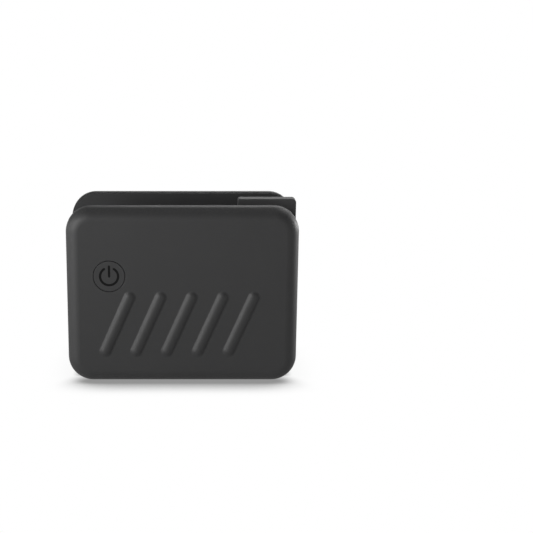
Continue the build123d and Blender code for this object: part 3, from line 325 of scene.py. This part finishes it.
def packed_grains():
    """Grains pressed together, with the pores between them."""
    grain_edge, pore = 0.45, 0.75
    tree, shading, given, result = effect(
        "Packed grains", {"Grain Size": 0.3}, ["Height", "Tone", "Pores"]
    )
    scale = scale_of(shading, given["Grain Size"])
    cells = shading.add("ShaderNodeTexVoronoi", {"Vector": shading.place(), "Scale": scale}).outputs
    distance = cells["Distance"]
    grain_colour = shading.add("ShaderNodeSeparateColor", {0: cells["Color"]}).outputs
    shading.feed(result["Height"], shading.math("SUBTRACT", 1.0, distance, clamp=True))
    shading.feed(result["Tone"], grain_colour[0])
    shading.feed(result["Pores"], shading.spread(distance, grain_edge, pore))
    return tree


grain_effect = moulded_grain()
wear_effect = edge_wear()
dust_effect = settled_dust()
smear_effect = handling_marks()
painted_shade_effect = painted_gap_shade()
scuff_effect = blade_scuffs()
turning_effect = turned_lines()
drawing_effect = drawn_lines()
packing_effect = packed_grains()

# ------------------------------------------------------------------------ materials

dust_colour = (0.30, 0.29, 0.28, 1.0)
# Near black, for the painted shade in gaps and creases.
painted_shade_colour = (0.004, 0.004, 0.004, 1.0)
steel_smear = (0.30, 0.30, 0.31, 1.0)


def blank_material(name):
    """New material with an empty node tree, and the shading helper that fills it."""
    material = bpy.data.materials.new(name)
    material.use_nodes = True
    material.node_tree.nodes.clear()
    return material, Shading(material.node_tree)


def plain_finish(name, roughness, specular=0.5, metallic=0.0, **extras):
    """New material with a Principled shader, whose plain values sit on its own sockets."""
    material, shading = blank_material(name)
    surface = shading.add("ShaderNodeBsdfPrincipled")
    surface.inputs["Roughness"].default_value = roughness
    surface.inputs["Specular IOR Level"].default_value = specular
    surface.inputs["Metallic"].default_value = metallic
    for key, value in extras.items():
        surface.inputs[key.replace("_", " ")].default_value = value
    shading.add("ShaderNodeOutputMaterial", {"Surface": surface.outputs[0]})
    return material, shading, surface


def bumped(shading, surface, height, strength, depth):
    """Feeds a height into the surface's normal; depth is in metres."""
    bump = shading.add(
        "ShaderNodeBump", {"Height": height, "Strength": strength, "Distance": depth}
    )
    shading.feed(surface.inputs["Normal"], bump.outputs[0])


def shade(colour, factor):
    """A colour made lighter or darker."""
    return tuple(channel * factor for channel in colour[:3]) + (1.0,)


def moulded_plastic(
    name,
    colour,
    roughness,
    grain_size,
    grain_depth,
    specular=0.5,
    wear=0.35,
    dust=0.18,
    scuffs=0.0,
):
    """Moulded plastic with fine grain, faint flow, worn arrises, smears, a trace of dust and
    painted shade in gaps.
    """
    mottle, flow_share, flow_lift = 0.06, 0.5, 1.05
    worn_lift, painted_shade_share = 2.2, 0.95
    smear_polish, wear_polish, scuff_polish = 0.05, 0.08, 0.15
    grain_dulling, dust_dulling = 0.04, 0.2
    scuffed_height = 25.0
    material, shading, surface = plain_finish(name, roughness, specular)
    grain = shading.group(grain_effect, Grain_Size=grain_size)
    worn = shading.group(wear_effect, Radius=0.35)["Mask"]
    dusty = shading.group(dust_effect)["Mask"]
    smears = shading.group(smear_effect)["Mask"]
    mottled = shading.blend(grain["Tone"], shade(colour, 1.0 - mottle), shade(colour, 1.0 + mottle))
    flowing = shading.blend(
        shading.times(grain["Flow"], flow_share), mottled, shade(colour, flow_lift)
    )
    rubbed = shading.blend(shading.times(worn, wear), flowing, shade(colour, worn_lift))
    dusted = shading.blend(shading.times(dusty, dust), rubbed, dust_colour)
    shaded_gaps = shading.group(painted_shade_effect)["Mask"]
    # Painted shade: near black in narrow gaps and creases.
    finish = shading.blend(shading.times(shaded_gaps, painted_shade_share), dusted, painted_shade_colour)
    polished = shading.times_plus(smears, -smear_polish, roughness)
    uneven = shading.times_plus(grain["Tone"], grain_dulling, polished)
    rough = shading.times_plus(worn, -wear_polish * wear, uneven)
    if scuffs:
        scored = shading.group(scuff_effect, Floor_Height=guide_top / MM, Reach=scuffed_height)
        finish = shading.blend(shading.times(scored["Mask"], scuffs), finish, steel_smear)
        rough = shading.times_plus(scored["Mask"], -scuff_polish * scuffs, rough)
    shading.feed(surface.inputs["Base Color"], finish)
    dulled = shading.times_plus(dusty, dust_dulling * dust, rough)
    shading.feed(surface.inputs["Roughness"], dulled)
    bumped(shading, surface, grain["Height"], strength=0.6, depth=grain_depth)
    return material


def lined_metal(name, colour, roughness, lines, tint=0.12, depth=0.02):
    """Metal whose fine lines come from a function that adds them to its tree."""
    worn_lift, smear_size = 1.25, 9.0
    line_dulling, smear_dulling, line_polish = 0.12, 0.08, 0.06
    material, shading, surface = plain_finish(name, roughness, metallic=1.0)
    marks = lines(shading)
    worn = shading.group(wear_effect, Radius=0.2)["Mask"]
    tone = shading.blend(marks["Tone"], shade(colour, 1.0 - tint), shade(colour, 1.0 + tint))
    rubbed = shading.blend(worn, tone, shade(colour, worn_lift))
    shading.feed(surface.inputs["Base Color"], rubbed)
    smears = shading.group(smear_effect, Smear_Size=smear_size)["Mask"]
    smeared = shading.times_plus(smears, smear_dulling, roughness - line_polish)
    dulled = shading.times_plus(marks["Tone"], line_dulling, smeared)
    shading.feed(surface.inputs["Roughness"], dulled)
    bumped(shading, surface, marks["Height"], strength=0.35, depth=depth * MM)
    return material


def turned_round(axle):
    return lambda shading: shading.group(turning_effect, Axle_X=axle.x, Axle_Z=axle.z)


def drawn_along(x, y, z, line_size=0.12):
    return lambda shading: shading.group(
        drawing_effect, Along_X=x, Along_Y=y, Along_Z=z, Line_Size=line_size
    )


def sintered_bronze():
    """Pressed and sintered bushing metal: dull gold grains with dark oily pores."""
    dull_gold, bright_gold = (0.40, 0.24, 0.10, 1.0), (0.56, 0.36, 0.17, 1.0)
    oily_pore = (0.06, 0.035, 0.015, 1.0)
    grain_roughness, pore_dulling = 0.38, 0.3
    material, shading, surface = plain_finish(
        "Sintered bronze", roughness=0.42, metallic=1.0
    )
    grains = shading.group(packing_effect, Grain_Size=0.18)
    tone = shading.blend(grains["Tone"], dull_gold, bright_gold)
    shading.feed(surface.inputs["Base Color"], shading.blend(grains["Pores"], tone, oily_pore))
    dulled = shading.times_plus(grains["Pores"], pore_dulling, grain_roughness)
    shading.feed(surface.inputs["Roughness"], dulled)
    bumped(shading, surface, grains["Height"], strength=0.5, depth=0.03 * MM)
    return material


def bonded_abrasive():
    """Grinding wheel: grit in resin, with a ring loaded with steel where blades touch."""
    dark_grit, pale_grit = (0.20, 0.18, 0.17, 1.0), (0.62, 0.58, 0.54, 1.0)
    resin, steel_dust = (0.09, 0.07, 0.06, 1.0), (0.16, 0.16, 0.17, 1.0)
    # The ring's two soft edges, as shares of the wheel's radius.
    ring_inside, ring_outside = (0.55, 0.68), (0.97, 0.90)
    patches_per_metre, patch_tones = 700.0, (0.3, 0.6)
    loading_share, loading_metal, loading_polish = 0.6, 0.5, 0.3
    roughness = 0.85
    material, shading, surface = plain_finish("Bonded abrasive", roughness, specular=0.3)
    grains = shading.group(packing_effect, Grain_Size=0.35)
    radius, _ = shading.from_axle(wheel_axle.x, wheel_axle.z)
    patches = shading.patches(
        shading.place(), patches_per_metre, *patch_tones, detail=3.0, roughness=0.6
    )
    inside, outside = (
        shading.spread(radius, *(share * wheel_radius for share in ring))
        for ring in (ring_inside, ring_outside)
    )
    loaded = shading.times(shading.times(inside, outside), patches)
    grit = shading.blend(grains["Tone"], dark_grit, pale_grit)
    bonded = shading.blend(grains["Pores"], grit, resin)
    worked = shading.blend(shading.times(loaded, loading_share), bonded, steel_dust)
    shading.feed(surface.inputs["Base Color"], worked)
    shading.feed(surface.inputs["Metallic"], shading.times(loaded, loading_metal))
    polished = shading.times_plus(loaded, -loading_polish, roughness)
    shading.feed(surface.inputs["Roughness"], polished)
    bumped(shading, surface, grains["Height"], strength=0.9, depth=0.12 * MM)
    return material


def wound_wire():
    """Enamelled copper wire, laid in turns along the poles and round them, with painted shade
    between turns.
    """
    wire_pitch = 0.32 * MM
    dark_enamel, bright_enamel = (0.42, 0.13, 0.035, 1.0), (0.62, 0.24, 0.09, 1.0)
    painted_shade_between_turns = (0.10, 0.03, 0.01, 1.0)
    tones_per_metre = 900.0
    smooth, tone_dulling = 0.22, 0.15
    material, shading, surface = plain_finish(
        "Enamelled copper wire",
        roughness=0.3,
        metallic=0.85,
        Coat_Weight=0.5,
        Coat_Roughness=0.12,
    )
    radius, along = shading.from_axle(rotor_axle.x, rotor_axle.z)
    turn = 2 * pi / wire_pitch
    ends, sides = (shading.math("SINE", shading.times(way, turn)) for way in (radius, along))
    # The waves run from -1 to 1, the height from 0 to 1.
    wires = shading.times_plus(shading.times(ends, sides), 0.5, 0.5)
    tone = shading.noise(shading.place(), tones_per_metre, detail=3.0)
    enamel = shading.blend(tone, dark_enamel, bright_enamel)
    # Painted shade: dark in the grooves between the turns.
    shading.feed(surface.inputs["Base Color"], shading.blend(wires, painted_shade_between_turns, enamel))
    dulled = shading.times_plus(tone, tone_dulling, smooth)
    shading.feed(surface.inputs["Roughness"], dulled)
    bumped(shading, surface, wires, strength=0.8, depth=0.08 * MM)
    return material


def printed_board():
    """Green solder mask over copper traces, with tinned pads."""
    white, dark = (1.0, 1.0, 1.0, 1.0), (0.0, 0.0, 0.0, 1.0)
    bare_mask, mask_on_copper = (0.006, 0.060, 0.026, 1.0), (0.016, 0.125, 0.050, 1.0)
    tin = (0.55, 0.55, 0.52, 1.0)
    trace_unit = 2.0 * MM
    pads_per_metre, pad_edge = 420.0, (0.20, 0.14)
    pad_metal, pad_height, dust_share = 0.9, 0.6, 0.12
    smooth, dust_dulling = 0.28, 0.2
    material, shading, surface = plain_finish(
        "Solder mask", roughness=0.3, Coat_Weight=0.4, Coat_Roughness=0.1
    )
    place = shading.place()
    parts = shading.split(place)
    lanes = shading.add(
        "ShaderNodeTexBrick",
        {
            "Vector": shading.join(parts["X"], parts["Z"], parts["Y"]),
            "Color1": white,
            "Color2": white,
            "Mortar": dark,
            "Scale": 1 / trace_unit,
            "Mortar Size": 0.09,
            "Brick Width": 3.4,
            "Row Height": 0.7,
        },
        offset=0.37,
    )
    traces = shading.math("SUBTRACT", 1.0, lanes.outputs["Fac"])
    cells = shading.add(
        "ShaderNodeTexVoronoi", {"Vector": place, "Scale": pads_per_metre}, distance="CHEBYCHEV"
    )
    pads = shading.spread(cells.outputs["Distance"], *pad_edge)
    dusty = shading.group(dust_effect, Speck_Size=0.8)["Mask"]
    mask = shading.blend(traces, bare_mask, mask_on_copper)
    tinned = shading.blend(pads, mask, tin)
    dusted = shading.blend(shading.times(dusty, dust_share), tinned, dust_colour)
    dulled = shading.times_plus(dusty, dust_dulling, smooth)
    shading.feed(surface.inputs["Base Color"], dusted)
    shading.feed(surface.inputs["Metallic"], shading.times(pads, pad_metal))
    shading.feed(surface.inputs["Roughness"], dulled)
    height = shading.times_plus(pads, pad_height, traces)
    bumped(shading, surface, height, strength=0.6, depth=0.035 * MM)
    return material


def shrink_wrap():
    """Glossy sleeve of a lithium cell, with fine wrinkles where it shrank round the ends."""
    dark_film, bright_film = (0.020, 0.095, 0.25, 1.0), (0.030, 0.135, 0.34, 1.0)
    worn_film = (0.35, 0.42, 0.55, 1.0)
    wrinkles_per_metre, tones_per_metre = 420.0, 60.0
    worn_share, smooth, wrinkle_dulling = 0.5, 0.18, 0.16
    material, shading, surface = plain_finish(
        "Cell wrap", roughness=0.28, Coat_Weight=0.6, Coat_Roughness=0.08
    )
    place = shading.place()
    wrinkles = shading.noise(
        place, wrinkles_per_metre, detail=3.0, roughness=0.55, distortion=2.0
    )
    tone = shading.noise(place, tones_per_metre)
    worn = shading.group(wear_effect, Radius=0.5)["Mask"]
    film = shading.blend(tone, dark_film, bright_film)
    rubbed = shading.blend(shading.times(worn, worn_share), film, worn_film)
    dulled = shading.times_plus(wrinkles, wrinkle_dulling, smooth)
    shading.feed(surface.inputs["Base Color"], rubbed)
    shading.feed(surface.inputs["Roughness"], dulled)
    bumped(shading, surface, wrinkles, strength=0.4, depth=0.05 * MM)
    return material


def moulded_rubber():
    """Soft rubber: matt, faintly bloomed, with lint that clings to it."""
    plain_rubber, bloomed_rubber = (0.012, 0.012, 0.012, 1.0), (0.028, 0.028, 0.029, 1.0)
    bloom_per_metre, bloom_tones = 180.0, (0.4, 0.7)
    lint_per_metre, lint_tones = 1500.0, (0.66, 0.72)
    bloom_share, dust_share, lint_share = 0.5, 0.25, 0.3
    plain_roughness, bloom_dulling = 0.74, 0.12
    material, shading, surface = plain_finish("Rubber", roughness=0.8, specular=0.25)
    place = shading.place()
    grain = shading.group(grain_effect, Grain_Size=0.5)
    bloom = shading.patches(place, bloom_per_metre, *bloom_tones, detail=4.0, roughness=0.6)
    lint = shading.patches(place, lint_per_metre, *lint_tones, distortion=3.0)
    dusty = shading.group(dust_effect)["Mask"]
    tone = shading.blend(shading.times(bloom, bloom_share), plain_rubber, bloomed_rubber)
    specks = shading.times_plus(dusty, dust_share, shading.times(lint, lint_share), clamp=True)
    dulled = shading.times_plus(bloom, bloom_dulling, plain_roughness)
    shading.feed(surface.inputs["Base Color"], shading.blend(specks, tone, dust_colour))
    shading.feed(surface.inputs["Roughness"], dulled)
    bumped(shading, surface, grain["Height"], strength=0.6, depth=0.02 * MM)
    return material


charcoal = (0.034, 0.034, 0.0345)
black = (0.028, 0.028, 0.0285)
satin = dict(roughness=0.50, grain_size=0.5, grain_depth=0.010 * MM, specular=0.4, wear=0.22)
inner = dict(roughness=0.5, grain_size=0.6, grain_depth=0.010 * MM, dust=0.3)

# Each plastic's name, colour and texture, with its grain size in millimetres.
plastics = {
    "shell_plastic": ("Housing plastic", charcoal, satin),
    "frame_plastic": ("Frame plastic", charcoal, dict(satin, scuffs=0.3)),
    "button_plastic": ("Button plastic", charcoal, satin),
    "hood_plastic": (
        "Hood plastic",
        (0.052, 0.052, 0.0525),
        dict(
            roughness=0.48, grain_size=0.7, grain_depth=0.006 * MM, specular=0.4, scuffs=0.35
        ),
    ),
    "guide_plastic": (
        "Guide plastic",
        black,
        dict(roughness=0.45, grain_size=0.7, grain_depth=0.008 * MM, scuffs=0.5),
    ),
    "mark_ink": (
        "Mark ink",
        (0.006, 0.006, 0.006),
        dict(
            roughness=0.55,
            grain_size=0.7,
            grain_depth=0.004 * MM,
            specular=0.1,
            wear=0.0,
            dust=0.03,
        ),
    ),
    "tray_plastic": (
        "Tray plastic",
        charcoal,
        dict(roughness=0.48, grain_size=0.5, grain_depth=0.012 * MM, dust=0.35),
    ),
    "chamber_plastic": ("Chamber plastic", black, inner),
    "pulley_plastic": (
        "Pulley acetal",
        (0.60, 0.58, 0.53),
        dict(roughness=0.4, grain_size=0.8, grain_depth=0.005 * MM),
    ),
    "chips": (
        "Chip resin",
        (0.014, 0.014, 0.015),
        dict(roughness=0.5, grain_size=0.3, grain_depth=0.010 * MM),
    ),
    "light_lens": (
        "Light lens",
        (0.55, 0.62, 0.55),
        dict(roughness=0.3, grain_size=0.6, grain_depth=0.006 * MM),
    ),
    "lead_insulation": (
        "Lead insulation",
        (0.32, 0.018, 0.016),
        dict(roughness=0.38, grain_size=0.8, grain_depth=0.006 * MM),
    ),
}
along_y, across_y, every_way = (1.0, 0.1, 1.0), (0.05, 1.0, 0.05), (1.0, 1.0, 1.0)
finishes = {
    slot: moulded_plastic(name, colour, **texture)
    for slot, (name, colour, texture) in plastics.items()
}
finishes |= {
    "abrasive": bonded_abrasive(),
    "bronze": sintered_bronze(),
    "copper": wound_wire(),
    "board": printed_board(),
    "cell_wrap": shrink_wrap(),
    "rubber": moulded_rubber(),
    "steel": lined_metal(
        "Rolled steel", (0.55, 0.55, 0.56), roughness=0.3, lines=drawn_along(*along_y)
    ),
    "screw_steel": lined_metal(
        "Black zinc",
        (0.10, 0.10, 0.105),
        roughness=0.38,
        lines=drawn_along(*every_way, line_size=0.3),
    ),
    "iron": lined_metal(
        "Laminated iron",
        (0.17, 0.17, 0.18),
        roughness=0.5,
        lines=drawn_along(*across_y, line_size=0.5),
        tint=0.3,
        depth=0.05,
    ),
}
for part in frame["record"]["subparts"]:
    nodes[part["node"]].material_slots[0].material = finishes[part["material_slot"]]

turned_colour, turned_roughness = (0.60, 0.60, 0.61), 0.26
turned_pieces = {
    "motor_shaft": rotor_axle,
    "motor_can": rotor_axle,
    "wheel_shaft": wheel_axle,
    "wheel_spacer": wheel_axle,
    "shaft_clips": wheel_axle,
}
for node, axle in turned_pieces.items():
    steel = lined_metal(
        f"Turned steel {node}", turned_colour, turned_roughness, turned_round(axle)
    )
    nodes[node].material_slots[0].material = steel

# -------------------------------------------------------------------- floor and light

floor_span = 40.0
paper_dark, paper_light = (0.79, 0.79, 0.79, 1.0), (0.81, 0.81, 0.81, 1.0)
paper_per_metre = 60.0
# The floor's painted shadow, from ambient occlusion round the part.
shadow_reach = 0.03
shadow_dark, shadow_open = 0.30, 0.96
shadow_glow = 0.29
# The painted shadow fades past the lines through the body's corners, but not under the body.
shadow_thins, shadow_ends = 38.5 * MM, 64.5 * MM
shadow_left = 0.1
under_length = (72.0 * MM, 84.0 * MM)
under_depth = (16.0 * MM, 24.0 * MM)
# In reflections the floor is darker near the part: a painted shadow there.
reflected_near, reflected_far = 0.10, 1.6
reflected_glow = 0.4


def seen_rays(shading):
    """The camera's rays, and those that come by way of metal or glass."""
    rays = shading.add("ShaderNodeLightPath").outputs
    reflected = shading.math("MAXIMUM", rays["Is Glossy Ray"], rays["Is Transmission Ray"])
    return rays["Is Camera Ray"], reflected


def painted_floor_shadow(shading, place):
    """The floor's brightness round the part: a painted shadow, from the shadow's glow to white."""
    shelter = shading.shelter(shadow_reach, samples=16)
    shadow = shading.spread(shelter, shadow_dark, shadow_open, 1.0 - shadow_glow, 0.0)
    parts = shading.split(place)
    across, ahead = (shading.math("ABSOLUTE", parts[axis]) for axis in "XY")
    past_corner = shading.math("SUBTRACT", across, ahead)
    thinned = shading.spread(past_corner, shadow_thins, shadow_ends, 1.0, shadow_left)
    within_length = shading.spread(across, *under_length, 1.0, 0.0)
    within_depth = shading.spread(ahead, *under_depth, 1.0, 0.0)
    kept = shading.math("MAXIMUM", thinned, shading.times(within_length, within_depth))
    return shading.math("SUBTRACT", 1.0, shading.times(shadow, kept))


def white_floor():
    """Pale floor that shows white, with a painted soft shadow where the part stands."""
    material, shading = blank_material("White floor")
    place = shading.place()
    paper = shading.noise(place, paper_per_metre, detail=3.0)
    pale = shading.blend(paper, paper_dark, paper_light)
    diffuse = shading.add("ShaderNodeBsdfDiffuse", {"Color": pale})
    shown = painted_floor_shadow(shading, place)
    length = shading.add("ShaderNodeVectorMath", {0: place}, operation="LENGTH")
    distance = length.outputs["Value"]
    mirrored = shading.spread(distance, reflected_near, reflected_far, reflected_glow, 1.0)
    camera_rays, reflected_rays = seen_rays(shading)
    strength = shading.times_plus(camera_rays, shown, shading.times(reflected_rays, mirrored))
    glow = shading.add("ShaderNodeEmission", {"Strength": strength})
    seen = shading.math("MAXIMUM", camera_rays, reflected_rays)
    either = shading.add(
        "ShaderNodeMixShader", {0: seen, 1: diffuse.outputs[0], 2: glow.outputs[0]}
    )
    shading.add("ShaderNodeOutputMaterial", {"Surface": either.outputs[0]})
    return material


half_span = floor_span / 2
corners = [
    (x * half_span, y * half_span, 0.0) for x, y in ((-1, -1), (1, -1), (1, 1), (-1, 1))
]
floor_mesh = bpy.data.meshes.new("Floor")
floor_mesh.from_pydata(corners, [], [(0, 1, 2, 3)])
floor_mesh.materials.append(white_floor())
floor = bpy.data.objects.new("Floor", floor_mesh)
bpy.context.scene.collection.objects.link(floor)

# White behind the part; a white band at the horizon in reflections; a dim room for the rest.
horizon_low, horizon_high = 0.0, 0.14
room_glow = 0.15
white_light = (1.0, 1.0, 1.0, 1.0)
world = bpy.data.worlds.new("Studio")
bpy.context.scene.world = world
world.use_nodes = True
world.node_tree.nodes.clear()
sky = Shading(world.node_tree)
direction = sky.add("ShaderNodeTexCoord").outputs["Generated"]
band = sky.spread(sky.split(direction)["Z"], horizon_low, horizon_high, 1.0, room_glow)
camera_rays, reflected_rays = seen_rays(sky)
room = sky.times_plus(reflected_rays, sky.math("SUBTRACT", band, room_glow), room_glow)
brightness = sky.math("MAXIMUM", camera_rays, room)
background = sky.add("ShaderNodeBackground", {"Color": white_light, "Strength": brightness})
sky.add("ShaderNodeOutputWorld", {"Surface": background.outputs[0]})

lamp_distance = 1.3
body_middle = Vector((0.0, 0.0, middle("front_shell").z))


def soft_box(name, bearing, height, size, radiance):
    """Rectangular area lamp, placed by its bearing from the front and its height in degrees."""
    lamp = bpy.data.lights.new(name, "AREA")
    lamp.shape = "RECTANGLE"
    lamp.size, lamp.size_y = size
    lamp.energy = radiance * pi * size[0] * size[1]
    turn, lift = radians(bearing), radians(height)
    outward = Vector((sin(turn) * cos(lift), -cos(turn) * cos(lift), sin(lift)))
    stand = bpy.data.objects.new(name, lamp)
    stand.location = body_middle + lamp_distance * outward
    stand.rotation_euler = (-outward).to_track_quat("-Z", "Y").to_euler()
    stand.visible_camera = False
    bpy.context.scene.collection.objects.link(stand)


soft_box("Left box", bearing=-46, height=13, size=(0.8, 0.7), radiance=7.1)
soft_box("Side box", bearing=-85, height=14, size=(0.6, 0.6), radiance=3.5)
soft_box("Right box", bearing=114, height=7, size=(0.6, 0.3), radiance=21.0)
soft_box("High box", bearing=130, height=50, size=(0.6, 0.6), radiance=2.5)
soft_box("Back box", bearing=161, height=25, size=(1.1, 0.4), radiance=1.9)

# --------------------------------------------------------------------------- camera

camera_elevation = radians(14.83)
camera_reach = 0.8965
aim_point = Vector((0.0, 0.0, 65.5 * MM))
# In pixels of the finished image: its width, the focal length and where the aim falls.
frame_width = 533.0
camera_focus = 1210.0
aim_column, aim_row = 182.35, 283.6
# In millimetres, as the camera's own focal length is.
sensor_width = 36.0

lens = bpy.data.cameras.new("Camera")
lens.sensor_width = sensor_width
lens.lens = camera_focus * sensor_width / frame_width
lens.shift_x = (frame_width / 2 - aim_column) / frame_width
lens.shift_y = (aim_row - frame_width / 2) / frame_width
camera = bpy.data.objects.new("Camera", lens)
backward = Vector((0.0, -cos(camera_elevation), sin(camera_elevation)))
camera.location = aim_point + camera_reach * backward
camera.rotation_euler = (-backward).to_track_quat("-Z", "Y").to_euler()
bpy.context.scene.collection.objects.link(camera)
bpy.context.scene.camera = camera
bpy.context.scene.view_settings.view_transform = "Standard"
